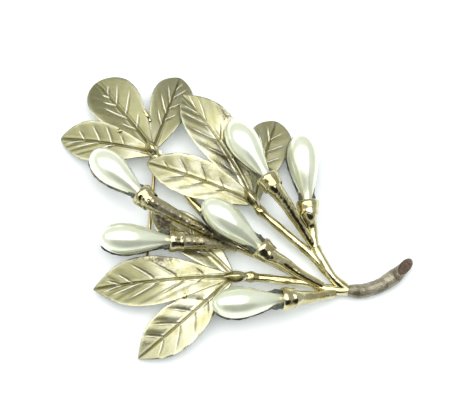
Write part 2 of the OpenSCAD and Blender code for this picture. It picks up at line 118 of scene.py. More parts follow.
def lumps(points: Array, size: float, seed: int) -> Array:
    """Smooth noise from -1 to 1: random values on a cubic lattice, eased between the eight corners.

    Args:
        points: positions in mm, in an array whose last axis is x, y and z.
        size: the lattice's spacing in mm.
        seed: which set of random values.

    Returns:
        One value for each position.
    """
    table = np.random.default_rng(seed).uniform(-1, 1, (32, 32, 32))
    cell = np.floor(points / size)
    f = points / size - cell
    f = f * f * (3 - 2 * f)
    total = np.zeros(points.shape[:-1])
    for corner in itertools.product((0, 1), repeat=3):
        at = (cell.astype(int) + np.array(corner)) % 32
        weight = np.prod(np.where(np.array(corner) == 1, f, 1 - f), axis=-1)
        total += weight * table[at[..., 0], at[..., 1], at[..., 2]]
    return total


def around(count: int) -> Array:
    """Evenly spaced angles round a ring, as a row."""
    return np.linspace(0, 2 * np.pi, count, endpoint=False)[None, :]


def way_length(path: Array) -> float:
    """Length of a path whose rows start with x, y and z."""
    return float(np.linalg.norm(np.diff(path[:, :3], axis=0), axis=1).sum())


def course(stations: Sequence[Station], steps: int) -> Array:
    """Catmull-Rom curve through stations of x, y, z and radius.

    Args:
        stations: the points that the curve passes through.
        steps: points for each stretch between two stations.

    Returns:
        The curve's points, one row each.
    """
    p = np.array(stations, float)
    padded = np.vstack([p[:1], p, p[-1:]])
    f = np.arange(steps)[:, None] / steps
    a, b, c, d = (padded[k : k + len(p) - 1, None, :] for k in range(4))
    bent = 0.5 * (2 * b + (c - a) * f + (2 * a - 5 * b + 4 * c - d) * f**2 + (3 * b - a - 3 * c + d) * f**3)
    return np.vstack([bent.reshape(-1, 4), p[-1:]])


@dataclass
class Skin:
    """Rings of points in mm, each joined to the next, with marks for the finish at every point."""

    rings: Array
    marks: dict[str, Array] = field(default_factory=dict)

    def build(self, name: str, material: bpy.types.Material) -> bpy.types.Object:
        """Makes the closed mesh, with a point in the middle of each end, facing outwards.

        Args:
            name: the piece's name.
            material: its finish.

        Returns:
            The new object, linked to the scene.
        """
        n, m = self.rings.shape[:2]
        ends = np.stack([self.rings[0].mean(0), self.rings[-1].mean(0)])
        points = np.vstack([self.rings.reshape(-1, 3), ends]) * MM
        i, j = np.meshgrid(np.arange(n - 1), np.arange(m), indexing="ij")
        k = (j + 1) % m
        quads = np.stack([i * m + j, i * m + k, (i + 1) * m + k, (i + 1) * m + j], -1).reshape(-1, 4)
        j = np.arange(m)
        k = (j + 1) % m
        first = np.stack([k, j, np.full(m, n * m)], -1)
        last = np.stack([(n - 1) * m + j, (n - 1) * m + k, np.full(m, n * m + 1)], -1)
        fans = np.vstack([first, last])
        split = np.vstack([quads[:, [0, 1, 2]], quads[:, [0, 2, 3]], fans])
        a, b, c = (points[split[:, corner]] for corner in range(3))
        if np.einsum("ij,ij->", a, np.cross(b, c)) < 0:
            quads, fans = quads[:, ::-1], fans[:, ::-1]
        mesh = bpy.data.meshes.new(name)
        mesh.from_pydata(points, [], [*map(tuple, quads.tolist()), *map(tuple, fans.tolist())])
        mesh.polygons.foreach_set("use_smooth", np.ones(len(mesh.polygons), bool))
        for mark, values in self.marks.items():
            flat = values.reshape(-1, 3)
            full = np.vstack([flat, flat[:m].mean(0), flat[-m:].mean(0)])
            layer = mesh.attributes.new(mark, "FLOAT_VECTOR", "POINT")
            layer.data.foreach_set("vector", full.astype(np.float32).ravel())
        mesh.materials.append(material)
        mesh.update()
        made = bpy.data.objects.new(name, mesh)
        bpy.context.scene.collection.objects.link(made)
        return made


def bar(path: Array, sides: int, relief: Callable[[Array, Array, Array], Array] | None = None) -> Skin:
    """Round bar along a path: rings across it, of the path's radius plus a relief.

    Args:
        path: rows of x, y, z and radius.
        sides: points around each ring.
        relief: gives the added radius from the length along the bar, the angle around it (a quarter turn is up)
            and the plain surface's points.

    Returns:
        The skin, with the mark "place" holding the length along the bar and the two offsets across it.
    """
    spots, radius = path[:, :3], path[:, 3:4]
    run = unit(np.gradient(spots, axis=0))
    side = unit(np.cross(run, (0, 0, 1)))
    up = np.cross(side, run)
    along = np.concatenate([[0], np.cumsum(np.linalg.norm(np.diff(spots, axis=0), axis=1))])[:, None]
    angle = around(sides)
    out = side[:, None] * np.cos(angle)[..., None] + up[:, None] * np.sin(angle)[..., None]
    rings = spots[:, None] + radius[..., None] * out
    if relief is not None:
        added = relief(along, angle, rings)
        rings = rings + added[..., None] * out
    lengths = np.broadcast_to(along, rings.shape[:2])
    marks = np.stack([lengths, radius * np.cos(angle), radius * np.sin(angle)], -1)
    return Skin(rings, {"place": marks, "shade_and_wear": np.zeros_like(rings)})


# ---- finishes ----

# Near white: the painted highlight on the leaves' burrs.
BURR_HIGHLIGHT = (0.95, 0.94, 0.8)


class Shade:
    """A socket of a node tree; sums on it add Math nodes."""

    def __init__(self, wiring: "Wiring", socket: bpy.types.NodeSocket) -> None:
        """Keeps the socket and the tree it is in."""
        self.wiring, self.socket = wiring, socket

    def math(self, operation: str, *values: Any) -> "Shade":
        """Adds one Math node on these values and returns its result."""
        return self.wiring.add("ShaderNodeMath", {"operation": operation}, dict(enumerate(values)))

    def __add__(self, other: Any) -> "Shade":
        """Sum."""
        return self.math("ADD", self, other)

    def __mul__(self, other: Any) -> "Shade":
        """Product."""
        return self.math("MULTIPLY", self, other)

    def __sub__(self, other: Any) -> "Shade":
        """Difference."""
        return self.math("SUBTRACT", self, other)

    def __rsub__(self, other: Any) -> "Shade":
        """Difference, from a number."""
        return self.math("SUBTRACT", other, self)

    __radd__, __rmul__ = __add__, __mul__

    def between(self, low: float, high: float) -> "Shade":
        """0 below low and 1 above high, eased between."""
        ramp = {"interpolation_type": "SMOOTHSTEP"}
        return self.wiring.add("ShaderNodeMapRange", ramp, {"Value": self, "From Min": low, "From Max": high})


class Wiring:
    """The node tree of a material or of the world, and the ways to add to it."""

    def __init__(self, owner: bpy.types.Material | bpy.types.World) -> None:
        """Empties a node tree.

        Args:
            owner: what the tree belongs to.
        """
        owner.use_nodes = True
        self.owner, self.tree = owner, owner.node_tree
        self.tree.nodes.clear()

    def add(
        self, kind: str, settings: Mapping[str, Any], sockets: Mapping[Any, Any], out: int | str = 0
    ) -> Shade:
        """Adds a node.

        Args:
            kind: the node's type.
            settings: properties, which are set first.
            sockets: values or links by socket name or number.
            out: the output wanted.

        Returns:
            That output.
        """
        node = self.tree.nodes.new(kind)
        for key, value in settings.items():
            setattr(node, key, value)
        for key, value in sockets.items():
            if isinstance(value, Shade):
                self.tree.links.new(value.socket, node.inputs[key])
            else:
                node.inputs[key].default_value = value
        return Shade(self, node.outputs[out])

    def mark(self, name: str) -> Shade:
        """A mark that the mesh carries, as a vector."""
        return self.add("ShaderNodeAttribute", {"attribute_name": name}, {}, "Vector")

    def parts(self, vector: Shade) -> tuple[Shade, Shade, Shade]:
        """The three numbers of a vector."""
        first = self.add("ShaderNodeSeparateXYZ", {}, {0: vector})
        return first, *(Shade(self, first.socket.node.outputs[n]) for n in (1, 2))

    def noise(self, where: Shade, stretch: Point, size: float, detail: float = 2.0) -> Shade:
        """Adds cloudy noise.

        Args:
            where: the place on the piece, in mm.
            stretch: how much longer its features are along each axis.
            size: their size in mm.
            detail: how many finer layers it has.

        Returns:
            The noise, from 0 to 1.
        """
        scale = tuple(1 / (size * axis) for axis in stretch)
        moved = self.add("ShaderNodeVectorMath", {"operation": "MULTIPLY"}, {0: where, 1: scale})
        sockets = {"Vector": moved, "Scale": 1.0, "Detail": detail, "Roughness": 0.55}
        return self.add("ShaderNodeTexNoise", {}, sockets)

    def mix(self, factor: Shade, first: Any, second: Any) -> Shade:
        """One colour into another by a factor."""
        ends = {n: v if isinstance(v, Shade) else (*v, 1.0) for n, v in ((6, first), (7, second))}
        return self.add("ShaderNodeMix", {"data_type": "RGBA"}, {0: factor} | ends, 2)

    def bump(self, height: Shade) -> Shade:
        """The normal that a height in mm gives."""
        return self.add("ShaderNodeBump", {}, {"Height": height, "Strength": 1.0, "Distance": MM})

    def end(self, shader: Shade, kind: str) -> None:
        """Joins a shader to the surface of an output of this type."""
        self.tree.links.new(shader.socket, self.tree.nodes.new(kind).inputs["Surface"])

    def finish(self, sockets: Mapping[str, Any]) -> bpy.types.Material:
        """Ends a material's tree in a Principled shader with these sockets, and returns the material."""
        self.end(self.add("ShaderNodeBsdfPrincipled", {}, sockets), "ShaderNodeOutputMaterial")
        return self.owner


@dataclass(frozen=True)
class PlatedMetal:
    """Cast and plated metal. Colours are linear, lengths in mm.

    On a piece that carries marks, "wear" holds cuts, patina and rims, and "tone" holds painted shade and the
    painted highlight on burrs. Cuts are darker: painted shade in grooves and notches, grime in pits, and the
    stem's cut face.
    """

    light: Point
    dark: Point
    # Colour in cuts: painted shade in grooves and notches, grime in pits, and the stem's cut face.
    cut: Point
    patina: Point
    smooth: float
    rough: float
    grain: float
    stretch: Point
    relief: float
    lacquer: float = 0.0
    # Colour of the painted shade on the leaves.
    painted_shade: Point = (0.205, 0.2, 0.092)
    carried: bool = True

    def material(self, name: str) -> bpy.types.Material:
        """Wires the finish.

        Args:
            name: the material's name.

        Returns:
            The material.
        """
        w = Wiring(bpy.data.materials.new(name))
        if self.carried:
            where = w.mark("place")
        else:
            thing = w.add("ShaderNodeTexCoord", {}, {}, "Object")
            where = w.add("ShaderNodeVectorMath", {"operation": "SCALE"}, {0: thing, "Scale": 1000.0})
        grain = w.noise(where, self.stretch, self.grain, 3.0)
        clouds = w.noise(where, (1, 1, 1), 3.2, 3.0)
        specks = w.noise(where, (1, 1, 1), 0.55, 4.0)
        colour = w.mix(clouds.between(0.36, 0.66), self.dark, self.light)
        colour = w.mix(specks.between(0.62, 0.74) * 0.35, colour, self.patina)
        roughness = self.smooth + (self.rough - self.smooth) * grain.between(0.25, 0.75) + 0.1 * (clouds - 0.5)
        if self.carried:
            cut, patina, rim = w.parts(w.mark("shade_and_wear"))
            # Painted shade and the painted highlight on burrs, which only leaves carry.
            painted_shade, burr_highlight, _ = w.parts(w.mark("painted_light"))
            # Painted shade: darker and mottled where a leaf should look shaded.
            colour = w.mix((painted_shade + (clouds - 0.5) * 0.8 * painted_shade.between(0.02, 0.4)) * 0.85, colour, self.painted_shade)
            # Darker in cuts: painted shade in the leaves' grooves and the cups' notches, grime in pits, the
            # stem's cut face.
            colour = w.mix(cut.between(0.15, 0.95) * 0.75, colour, self.cut)
            # Painted highlight on the burrs, stronger where there is painted shade.
            colour = w.mix(burr_highlight * (0.25 + painted_shade * 0.65), colour, BURR_HIGHLIGHT)
            # Patina stains, mottled; on leaf_c3 they are partly painted shadow under the first bud's stalk.
            stain_and_shadow = (patina + (specks - 0.5) * 1.3 + (clouds - 0.5) * 0.8).between(0.42, 0.75)
            colour = w.mix(stain_and_shadow * patina.between(0.02, 0.3), colour, self.patina)
            colour = w.mix(rim * 0.6, colour, self.light)
            roughness = roughness - 0.12 * rim - 0.1 * cut + 0.4 * stain_and_shadow * patina + 0.08 * painted_shade
        return w.finish({
            "Base Color": colour,
            "Roughness": roughness,
            "Normal": w.bump(grain * self.relief + specks * (self.relief * 0.8)),
            "Metallic": 1.0,
            "Coat Weight": self.lacquer,
            "Coat Roughness": 0.2,
        })


@dataclass(frozen=True)
class PearlLacquer:
    """Imitation pearl: cream with a green cast under clear lacquer, greyer at the neck."""

    body: Point = (0.90, 0.935, 0.76)
    shade: Point = (0.83, 0.88, 0.66)
    neck: Point = (0.66, 0.66, 0.46)

    def material(self, name: str) -> bpy.types.Material:
        """Wires the finish.

        Args:
            name: the material's name.

        Returns:
            The material.
        """
        w = Wiring(bpy.data.materials.new(name))
        where = w.mark("place")
        along, _, _ = w.parts(where)
        clouds = w.noise(where, (1, 1, 1), 2.6, 3.0)
        film = w.noise(where, (1, 1, 1), 0.5, 2.0)
        colour = w.mix(clouds.between(0.3, 0.7), self.shade, self.body)
        colour = w.mix((1 - along.between(0.2, 4.5)) * 0.7, colour, self.neck)
        return w.finish({
            "Base Color": colour,
            "Roughness": 0.2 + 0.08 * film,
            "Normal": w.bump(film * 0.006 + clouds * 0.02),
            "Metallic": 0.55,
            "IOR": 1.55,
            "Coat Weight": 1.0,
            "Coat Roughness": 0.04,
        })


@dataclass(frozen=True)
class SetCement:
    """Dull grey-green cement, crumbly at its edges."""

    dark: Point = (0.035, 0.042, 0.032)
    light: Point = (0.13, 0.14, 0.11)

    def material(self, name: str) -> bpy.types.Material:
        """Wires the finish.

        Args:
            name: the material's name.

        Returns:
            The material.
        """
        w = Wiring(bpy.data.materials.new(name))
        where = w.mark("place")
        crumbs = w.noise(where, (1, 1, 1), 0.45, 4.0)
        return w.finish({
            "Base Color": w.mix(crumbs.between(0.35, 0.7), self.dark, self.light),
            "Roughness": 0.45 + 0.3 * crumbs,
            "Normal": w.bump(crumbs * 0.12),
        })


class Finish(Enum):
    """The finishes, by the record's slot."""

    LEAF_GOLD = "leaf_gold"
    POLISHED_GOLD = "polished_gold"
    BRONZE_STEM = "bronze_stem"
    OXIDISED_TRAY = "oxidised_tray"
    CEMENT = "cement"
    PEARL = "pearl"
    PIN_WIRE = "pin_wire"
    FINDINGS = "findings"


RECIPES: dict[Finish, Any] = {
    Finish.LEAF_GOLD: PlatedMetal(
        light=(0.64, 0.625, 0.47), dark=(0.42, 0.40, 0.22),
        cut=(0.27, 0.235, 0.105), patina=(0.16, 0.125, 0.085),
        smooth=0.25, rough=0.42, grain=0.15, stretch=(2.2, 1, 1), relief=0.055, lacquer=0.15),
    Finish.POLISHED_GOLD: PlatedMetal(
        light=(0.64, 0.60, 0.37), dark=(0.46, 0.40, 0.2), cut=(0.30, 0.22, 0.10), patina=(0.42, 0.38, 0.26),
        smooth=0.08, rough=0.2, grain=0.35, stretch=(2, 1, 1), relief=0.03, lacquer=0.1),
    Finish.BRONZE_STEM: PlatedMetal(
        light=(0.38, 0.345, 0.25), dark=(0.14, 0.118, 0.075),
        cut=(0.10, 0.042, 0.026), patina=(0.05, 0.035, 0.02),
        smooth=0.2, rough=0.42, grain=0.2, stretch=(1.5, 1, 1), relief=0.16, lacquer=0.15),
    Finish.OXIDISED_TRAY: PlatedMetal(
        light=(0.22, 0.20, 0.13), dark=(0.06, 0.06, 0.045), cut=(0.05, 0.05, 0.04), patina=(0.03, 0.03, 0.025),
        smooth=0.25, rough=0.55, grain=0.3, stretch=(1, 1, 1), relief=0.06),
    Finish.CEMENT: SetCement(),
    Finish.PEARL: PearlLacquer(),
    Finish.PIN_WIRE: PlatedMetal(
        light=(0.62, 0.52, 0.27), dark=(0.46, 0.36, 0.15), cut=(0.3, 0.2, 0.08), patina=(0.14, 0.08, 0.03),
        smooth=0.12, rough=0.28, grain=0.25, stretch=(1, 4, 1), relief=0.01, carried=False),
    Finish.FINDINGS: PlatedMetal(
        light=(0.68, 0.56, 0.32), dark=(0.52, 0.40, 0.20), cut=(0.3, 0.2, 0.08), patina=(0.12, 0.08, 0.04),
        smooth=0.2, rough=0.4, grain=0.3, stretch=(1, 1, 1), relief=0.02, carried=False),
}


class Bench:
    """The finishes made so far, and the ways a piece joins the frame."""

    def __init__(self) -> None:
        """Wires every finish once."""
        self.materials = {f: recipe.material(f.value) for f, recipe in RECIPES.items()}

    def fit(self, skin: Skin, name: str, finish: Finish, node: str, body: str = "root") -> bpy.types.Object:
        """Builds a piece that stands for a CAD node and rides on its body.

        Args:
            skin: the piece's surface.
            name: the piece's name.
            finish: what it is finished in.
            node: the CAD node that it stands for.
            body: the body that it rides on.

        Returns:
            The piece.
        """
        made = skin.build(name, self.materials[finish])
        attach(made, body)
        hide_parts(node)
        LOG.info("%s: %d faces, for %s", name, len(made.data.polygons), node)
        return made

    def dress(self, node: str, finish: Finish) -> None:
        """Gives a CAD node its finish and leaves its shape as it is.

        Args:
            node: the CAD node.
            finish: what it is finished in.
        """
        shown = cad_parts[node]
        shown.data.materials.clear()
        shown.data.materials.append(self.materials[finish])
        LOG.info("%s keeps its CAD shape", node)


# ---- leaves ----

Stroke = tuple[float, float, float]
VEIN_W = 0.14
BURR_H = 0.09
FACE_MARGIN_POWER = 14
BACK_LAYER = 9
NAME_LAYER = 20


@dataclass(frozen=True)
class Leaf:
    """One cast leaf with an engraved rib and veins. Lengths in mm, places along it as shares of its length.

    It is widest at its peak. The bow bends it sideways, the arch and the fold lift its middle and its sides,
    and the roll turns it about its length, in degrees. A vein is where it leaves the rib, where it ends, and
    the share of the half width that it reaches there. The painted shade, which grows along the leaf, is its
    amount, start and end. A stained patch is its place along, its share across, its two sizes and its weight;
    on leaf_c3 it is partly painted shadow, under the first bud's stalk.
    """

    name: str
    base: Point
    tip: Point
    width: float
    peak: float
    fullness: float
    bow: float
    arch: float
    roll: float
    left: tuple[Stroke, ...]
    right: tuple[Stroke, ...]
    point: float = 0.5
    quilt: float = 0.03
    groove: float = 0.17
    # Painted shade: its amount, and where along the leaf it starts and ends.
    painted_shade: tuple[float, float, float] = (0.0, 0.6, 1.0)
    # A stained patch, partly painted shadow on leaf_c3.
    stain_and_shadow: tuple[float, float, float, float, float] | None = None
    wall: float = 0.6
    fold: float = 0.2
    neck: float = 1.6
    rows: int = 260
    columns: int = 113
    under: int = 21

    def half(self, s: Array) -> Array:
        """Half width: a sine that peaks at the widest place, to the power of the fullness, plus the neck.

        The power nears 1 at a pointed tip.

        Args:
            s: shares of the length.

        Returns:
            The half width in mm at each.
        """
        turn = np.pi * s ** (math.log(0.5) / math.log(self.peak))
        fullness = self.fullness + (1.0 - self.fullness) * self.point * ease(0.72, 1.0, s)
        return self.width / 2 * np.sin(np.clip(turn, 0, np.pi)) ** fullness + self.neck / 2 * (1 - s) ** 3 + 0.1

    def vein(self, x: Array, y: Array, stroke: Stroke) -> tuple[Array, Array, Array]:
        """One engraved vein on its own side of the rib.

        The line runs from the rib outwards, bending towards the tip. Across it, a bell-shaped cut with a burr
        on its tip side; along it, both fade at the ends.

        Args:
            x: place along the leaf, mm.
            y: distance from the rib, mm, negative on the other side.
            stroke: the vein.

        Returns:
            The height added, how much of it is cut and how much is burr, from 0 to 1.
        """
        length = self.length()
        start, end, reach = stroke
        x0, x1 = start * length, end * length
        y1 = reach * float(self.half(np.array(end)))
        f = np.clip((y - 0.15) / (y1 - 0.15), -0.2, 1.2)
        line = x0 + (x1 - x0) * np.sign(f) * np.abs(f) ** 1.15
        lean = (y1 - 0.15) / math.hypot(x1 - x0, y1 - 0.15)
        off = (x - line) * lean
        fade = ease(-0.05, 0.12, f) * (1 - ease(0.6, 1.08, f)) * (y > 0)
        cut = hill(off, 0, VEIN_W) * fade
        burr = hill(off, 1.9 * VEIN_W, VEIN_W) * fade
        return -self.groove * cut + BURR_H * burr, cut, burr

    def length(self) -> float:
        """Length of the leaf."""
        return float(np.linalg.norm(np.subtract(self.tip, self.base)))

    def pillow(self, x: Array, y: Array, strokes: tuple[Stroke, ...]) -> Array:
        """Swelling between veins: a cosine that is lowest on each vein's line and highest half way to the next.

        Args:
            x: place along the leaf, mm.
            y: distance from the rib, mm.
            strokes: the veins on that side.

        Returns:
            The swelling, from -1 to 1.
        """
        length = self.length()
        order = sorted(strokes)
        starts = np.array([v[0] for v in order]) * length
        slopes = [(v[1] - v[0]) * length / (v[2] * float(self.half(np.array(v[1])))) for v in order]
        foot = x - np.abs(y) * float(np.mean(slopes))
        pitch = float(np.mean(np.diff(starts))) if len(order) > 1 else 4.0
        grid = np.concatenate([[starts[0] - pitch], starts, [starts[-1] + pitch]])
        phase = np.interp(foot, grid, np.arange(-1, len(order) + 1))
        inside = ease(grid[0], starts[0], foot) * (1 - ease(starts[-1], grid[-1], foot))
        return -np.cos(2 * np.pi * phase) * inside * ease(0.2, 1.4, np.abs(y))

    def axes(self) -> tuple[Array, Array]:
        """Which way the leaf's left side and its face point.

        Returns:
            Two unit vectors, square to the line from base to tip and turned about it by the roll.
        """
        run = unit(np.subtract(self.tip, self.base))
        level = unit(np.cross((0, 0, 1), run))
        turn = math.radians(self.roll)
        side = level * math.cos(turn) + np.cross(run, level) * math.sin(turn)
        return side, np.cross(run, side)

    def spread(self, s: Array, t: Array, half: Array, drop: Array | float) -> Array:
        """Points of the leaf.

        A point is on the line from base to tip, moved sideways by the bow and by its share of the half width,
        and upwards by the arch and the fold, less its drop.

        Args:
            s: shares of the length.
            t: shares of the half width, negative on the right.
            half: the half width there, mm.
            drop: depth below the plain face, mm.

        Returns:
            The points, in mm.
        """
        side, up = self.axes()
        base, tip = np.array(self.base), np.array(self.tip)
        sideways = self.bow * 4 * s * (1 - s) + t * half
        height = self.arch * 4 * s * (1 - s) + self.fold * np.abs(t) * half - drop
        return base + (tip - base) * s[..., None] + side * sideways[..., None] + up * height[..., None]

    def edge(self, s: float, t: float) -> Array:
        """A point half way through the wall, at a share of the length and of the half width."""
        along = np.array(s)
        return self.spread(along, np.array(t), self.half(along), self.wall / 2)

    def skin(self) -> Skin:
        """The whole leaf: engraved face, rounded margin and plain back.

        Returns:
            The leaf's skin, with its marks.
        """
        s = np.sin(np.linspace(0, np.pi / 2, self.rows))[:, None]
        top = np.linspace(-1, 1, self.columns)[None, :]
        low = np.linspace(1, -1, self.under)[None, :]
        length = self.length()
        half = self.half(s)
        half = half * (1 + 0.006 * lumps(np.stack([s * length, s * 0 + 7, s * 0], -1), 1.1, 5))
        x, y = s * length * np.ones_like(top), top * half
        near = 1 - s
        rib = hill(y, 0, 0.1 + 0.04 * near) * ease(0.0, 0.06, s) * (1 - ease(0.9, 0.99, s))
        flank = hill(np.abs(y), 0.42, 0.3) * (0.06 + 0.2 * near**1.5)
        relief = -0.2 * rib + flank
        cut, bright = 0.9 * rib, np.zeros_like(x)
        for strokes, way in ((self.left, 1), (self.right, -1)):
            relief = relief + self.quilt * self.pillow(x, y, strokes) * (way * y > 0)
            for stroke in strokes:
                height, line, burr = self.vein(x, way * y, stroke)
                relief, cut, bright = relief + height, np.maximum(cut, line), np.maximum(bright, burr)
        margin = np.abs(top) ** FACE_MARGIN_POWER
        relief = relief * (1 - margin) - 0.14 * margin
        face = self.spread(s, top * np.ones_like(s), half, -relief)
        rim = self.spread(s, np.array([[1.0, -1.0]]) * (1 + 0.1 / half), half, 0.3 * self.wall)
        back = self.spread(s, low * np.ones_like(s), half, self.wall)
        rings = np.concatenate([face, rim[:, :1], back, rim[:, 1:]], axis=1)
        mark = np.zeros(rings.shape)
        # The rib and vein grooves, painted darker as shade.
        mark[:, : self.columns, 0] = np.clip(cut, 0, 1)
        # A stained patch; on leaf_c3, under the first bud's stalk, it is partly painted shadow.
        if self.stain_and_shadow is not None:
            at, share, wide, tall, weight = self.stain_and_shadow
            mark[:, : self.columns, 1] = weight * hill(s, at, wide) * hill(top, share, tall)
        rims, plain = np.ones((self.rows, 1)), np.zeros((self.rows, self.under))
        mark[..., 2] = np.concatenate([margin * np.ones_like(s), rims, plain, rims], axis=1)
        spot = np.zeros(rings.shape)
        across = np.concatenate([y, half, low * half, -half], axis=1)
        spot[..., 0], spot[..., 1] = s * length, across
        spot[..., 2] = np.concatenate([np.zeros_like(y), rims, plain + BACK_LAYER, rims], axis=1)
        spot[..., 2] += number_of(self.name) * NAME_LAYER
        painted_light = np.zeros(rings.shape)
        # Painted shade, growing along the leaf from its start to its end.
        amount, start, end = self.painted_shade
        painted_light[..., 0] = amount * ease(start, end, s)
        # Where the burrs are, for their painted highlight.
        painted_light[:, : self.columns, 1] = np.clip(bright, 0, 1)
        return Skin(rings, {"place": spot, "shade_and_wear": mark, "painted_light": painted_light})


def number_of(name: str) -> float:
    """A number from a name, so that no two leaves have the same grain."""
    return sum(ord(c) * (i + 1) for i, c in enumerate(name)) % 17


LEAVES = (
    Leaf("leaf_a1", raised(-20, 13.2, 0.2), raised(-40.6, 16.5, -3), 9, 0.64, 0.62, -0.4, 1, -6,
         left=((0.40, 0.60, 0.45), (0.57, 0.78, 0.42), (0.73, 0.88, 0.35)),
         right=((0.29, 0.35, 0.6), (0.43, 0.52, 0.85), (0.56, 0.66, 0.72), (0.73, 0.80, 0.5)),
         point=0.35, quilt=0.05, painted_shade=(1.0, 0.1, 0.45)),
    Leaf("leaf_a2", raised(-20.6, 14.8, 0.3), raised(-32.6, 30.2, -3), 11.4, 0.68, 0.5, 0, 0.9, 0,
         left=((0.22, 0.37, 0.45), (0.39, 0.65, 0.5), (0.60, 0.72, 0.35), (0.73, 0.80, 0.2)),
         right=((0.24, 0.36, 0.6), (0.45, 0.645, 0.73), (0.62, 0.79, 0.55), (0.78, 0.86, 0.3)),
         point=0.08, quilt=0.01, painted_shade=(1.0, -0.6, 0.1)),
    Leaf("leaf_a3", raised(-19.6, 14.6, 0.2), raised(-13.2, 32.2, -3.3), 9, 0.66, 0.52, 0, 0.6, 0,
         left=((0.28, 0.45, 0.55), (0.45, 0.66, 0.6), (0.60, 0.80, 0.45)),
         right=((0.36, 0.47, 0.5), (0.53, 0.70, 0.75), (0.68, 0.84, 0.6), (0.80, 0.90, 0.35)),
         point=0.25, quilt=0.01, painted_shade=(0.8, -0.3, 0.4)),
    Leaf("leaf_b1", raised(3, 2.6, -0.2), raised(-21.2, 10.5, 0.9), 9, 0.6, 0.6, -0.5, 0.6, -6,
         left=((0.26, 0.34, 0.3), (0.45, 0.58, 0.45), (0.62, 0.78, 0.5)),
         right=((0.27, 0.34, 0.5), (0.44, 0.56, 0.8), (0.62, 0.74, 0.75), (0.80, 0.86, 0.45)),
         point=0.4, quilt=0.075, painted_shade=(0.8, 0.55, 0.95)),
    Leaf("leaf_b2", raised(2.8, 3.6, -0.2), raised(-13, 27, 0.4), 10.8, 0.64, 0.6, -1, 0.8, 6,
         left=((0.2, 0.32, 0.6), (0.36, 0.52, 0.7), (0.52, 0.72, 0.75), (0.68, 0.84, 0.65), (0.78, 0.90, 0.5)),
         right=((0.34, 0.46, 0.5), (0.52, 0.66, 0.55), (0.70, 0.88, 0.6), (0.82, 0.93, 0.4)),
         point=0.4, quilt=0.06, painted_shade=(0.9, 0.5, 0.85), stain_and_shadow=(0.7, -0.85, 0.13, 0.35, 0.65)),
    Leaf("leaf_b3", raised(3.8, 2.6, -0.6), raised(9.4, 22.6, -3.2), 9.6, 0.72, 0.54, 0.5, 0.5, 4,
         left=((0.55, 0.75, 0.6), (0.72, 0.86, 0.35)),
         right=((0.3, 0.38, 0.5), (0.45, 0.56, 0.7), (0.6, 0.72, 0.65), (0.75, 0.85, 0.45)),
         point=0.2, quilt=0.015, painted_shade=(0.8, -0.3, 0.4)),
    Leaf("leaf_c1", raised(-2.6, -15.2, 0.1), raised(-32.8, -18.7, -1.6), 11, 0.62, 0.68, -0.4, 1, 0,
         left=((0.18, 0.24, 0.4), (0.31, 0.50, 0.6), (0.50, 0.72, 0.62), (0.62, 0.84, 0.5), (0.78, 0.89, 0.35)),
         right=((0.16, 0.23, 0.65), (0.36, 0.55, 0.75), (0.53, 0.70, 0.75), (0.71, 0.80, 0.5),
               (0.80, 0.88, 0.4)),
         point=0.8, quilt=0.04, painted_shade=(1.0, 0.4, 0.66), stain_and_shadow=(0.5, -0.92, 0.22, 0.26, 0.75)),
    Leaf("leaf_c2", raised(-2, -15.7, 0), raised(-22.4, -34.2, -2.4), 9.7, 0.62, 0.66, 0.2, 0.4, -2,
         left=((0.25, 0.33, 0.7), (0.39, 0.53, 0.8), (0.55, 0.73, 0.88), (0.73, 0.86, 0.8)),
         right=((0.27, 0.33, 0.5), (0.41, 0.51, 0.7), (0.56, 0.74, 0.9), (0.73, 0.83, 0.8)),
         point=0.85, quilt=0.09, painted_shade=(0.8, 0.3, 0.95)),
    # Its stained patch near the tip is partly painted shadow, under the first bud's stalk.
    Leaf("leaf_c3", raised(-1.8, -14.6, -0.5), raised(-19.8, -0.7, -0.9), 9, 0.62, 0.6, -0.9, 0.1, 9,
         left=((0.28, 0.4, 0.45), (0.45, 0.6, 0.5)), right=((0.3, 0.4, 0.5), (0.5, 0.62, 0.5)),
         point=0.3, painted_shade=(0.4, 0.3, 0.8), stain_and_shadow=(0.85, 0, 0.2, 1.2, 0.7)),
)


TIES = (
    ("leaf_tie_a12", ("leaf_a1", 0.36, -0.94), ("leaf_a2", 0.34, 0.94)),
    ("leaf_tie_a23", ("leaf_a2", 0.36, -0.94), ("leaf_a3", 0.28, 0.94)),
    ("leaf_tie_c12", ("leaf_c1", 0.34, 0.94), ("leaf_c2", 0.38, -0.94)),
)


